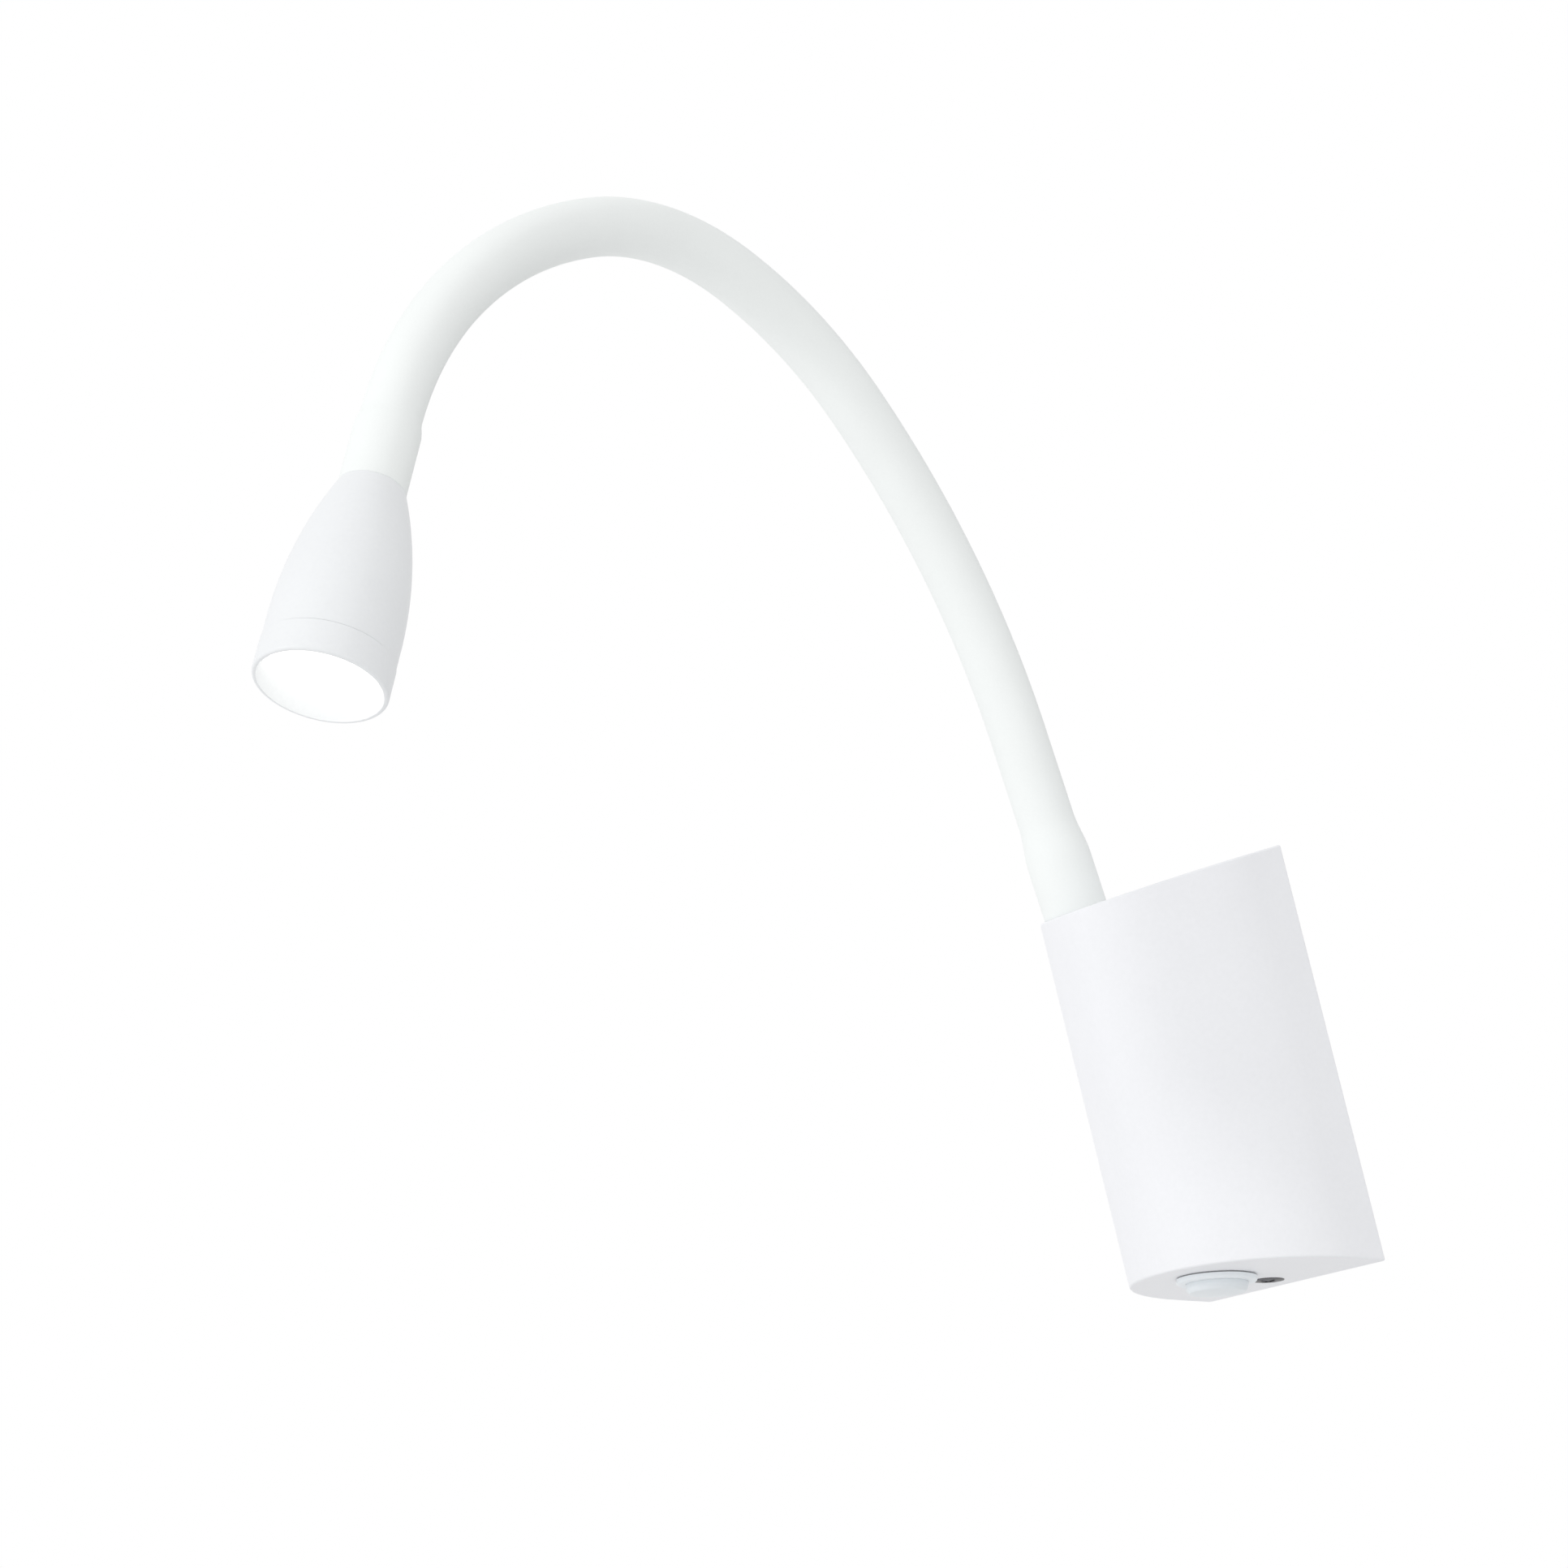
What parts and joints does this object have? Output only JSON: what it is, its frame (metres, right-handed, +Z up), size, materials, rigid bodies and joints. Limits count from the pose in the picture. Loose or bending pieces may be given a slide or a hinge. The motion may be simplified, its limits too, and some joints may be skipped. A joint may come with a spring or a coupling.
{
  "type": "wall lamp",
  "caption": "White wall lamp: a D-shaped housing on a hidden bracket, a push switch underneath and a sleeved flexible arm that carries a small bullet-shaped LED head.",
  "frame": {"origin": "middle of the back face, on the wall, midway between the two wall screws", "axes": "+X to the right when facing the wall, +Y into the wall, +Z up"},
  "size_m": [0.062, 0.2368, 0.2638],
  "materials": {
    "white_paint": "satin white powder coat",
    "white_plastic": "smooth white moulding",
    "white_sleeve": "smooth matt white silicone",
    "steel": "plain zinc-plated steel",
    "brass": "bare turned brass",
    "pale_plastic": "matt moulded plastic",
    "black_rubber": "matt black rubber",
    "sink_aluminium": "machined aluminium",
    "circuit_board": "white solder mask",
    "emitter": "clear resin over yellow phosphor",
    "lens": "clear moulded lens, lit from behind"
  },
  "bodies": {
    "base": {"housing": "white_paint", "wall_bracket": "steel", "cable_grommet": "black_rubber", "fixing_screw": "steel", "earth_screw": "brass", "terminal_block": "pale_plastic", "terminal_screws": "brass", "led_driver": "pale_plastic", "switch_body": "white_plastic", "switch_gasket": "black_rubber", "switch_nut": "steel", "switch_terminals": "brass", "arm_stem": "steel", "arm_washer": "steel", "arm_nut": "steel", "base_collar": "white_sleeve", "sleeve_0": "white_sleeve", "core_0": "steel"},
    "button": {"switch_button": "white_plastic"},
    "link_1": {"sleeve_1": "white_sleeve", "core_1": "steel"},
    "link_2": {"sleeve_2": "white_sleeve", "core_2": "steel"},
    "link_3": {"sleeve_3": "white_sleeve", "core_3": "steel"},
    "link_4": {"sleeve_4": "white_sleeve", "core_4": "steel"},
    "link_5": {"sleeve_5": "white_sleeve", "core_5": "steel"},
    "head": {"sleeve_6": "white_sleeve", "core_6": "steel", "head_collar": "white_sleeve", "head_stem": "steel", "head_shell": "white_paint", "head_ring": "white_paint", "heat_sink": "sink_aluminium", "led_board": "circuit_board", "board_screws": "steel", "led_emitter": "emitter", "lens": "lens", "lens_gasket": "black_rubber"}
  },
  "joints": [
    {"name": "button_press", "type": "slide", "parent": "base", "child": "button", "axis": [0, 0.225, 0.9744], "range_m": [0, 0.002], "stiffness_N_per_m": 600, "springref_m": -0.001},
    {"name": "arm_curl_low", "type": "hinge", "parent": "base", "child": "link_1", "pos_m": [-0.0152, -0.02806, 0.08749], "axis": [0.988, 0.154, 0.0148], "range_deg": [-30, 15]},
    {"name": "arm_sway_low", "type": "hinge", "parent": "link_1", "child": "link_2", "pos_m": [-0.01448, -0.03668, 0.12902], "axis": [0.151, -0.9388, -0.3095], "range_deg": [-25, 25]},
    {"name": "arm_curl_mid", "type": "hinge", "parent": "link_2", "child": "link_3", "pos_m": [-0.01239, -0.05384, 0.16776], "axis": [0.988, 0.154, 0.0148], "range_deg": [-30, 15]},
    {"name": "arm_sway_mid", "type": "hinge", "parent": "link_3", "child": "link_4", "pos_m": [-0.00847, -0.08198, 0.19893], "axis": [0.1011, -0.57, -0.8154], "range_deg": [-25, 25]},
    {"name": "arm_curl_top", "type": "hinge", "parent": "link_4", "child": "link_5", "pos_m": [-0.00243, -0.12175, 0.20946], "axis": [0.988, 0.154, 0.0148], "range_deg": [-30, 15]},
    {"name": "head_sway", "type": "hinge", "parent": "link_5", "child": "head", "pos_m": [0.00392, -0.16119, 0.19599], "axis": [-0.0673, 0.5143, -0.855], "range_deg": [-25, 25]}
  ]
}
